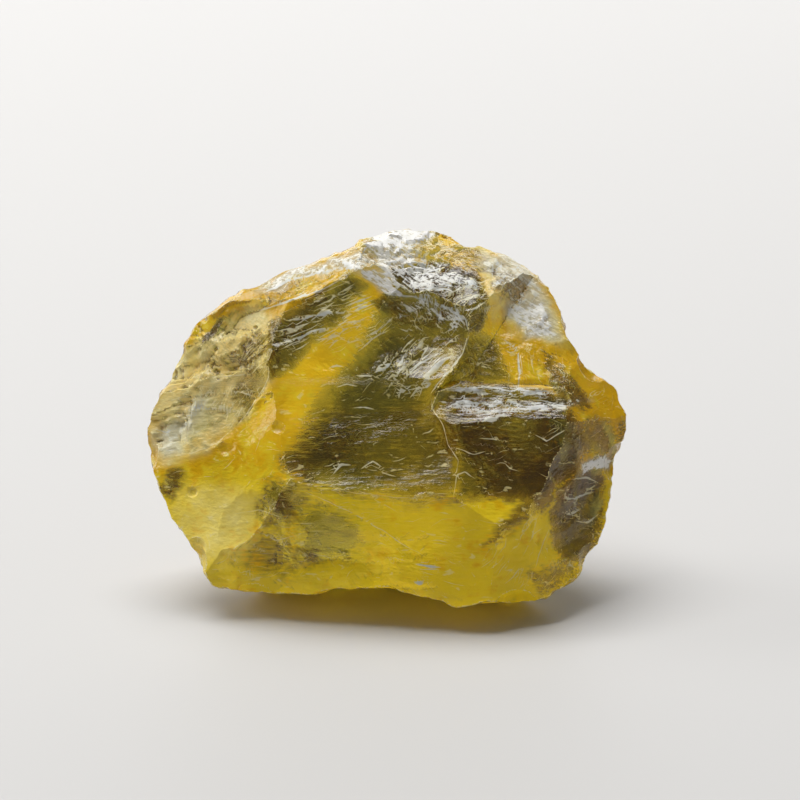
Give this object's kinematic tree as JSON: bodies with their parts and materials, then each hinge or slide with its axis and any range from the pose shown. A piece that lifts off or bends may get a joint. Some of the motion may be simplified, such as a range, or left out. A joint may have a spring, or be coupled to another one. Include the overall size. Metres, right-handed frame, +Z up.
{
  "type": "raw citrine crystal piece",
  "caption": "Rough piece of clear yellow quartz, broken on every side into shallow bowls and sharp ridges, resting on a small flat.",
  "frame": {"origin": "under the middle of the stone's box, on the surface it rests on", "axes": "+X to the right across the broad front face, -Y the side that the front face looks to, +Z up"},
  "size_m": [0.0478, 0.0274, 0.0342],
  "materials": {
    "citrine": "glassy broken faces, frosted on ridges and crest"
  },
  "bodies": {
    "root": {"citrine": "citrine"}
  },
  "joints": []
}
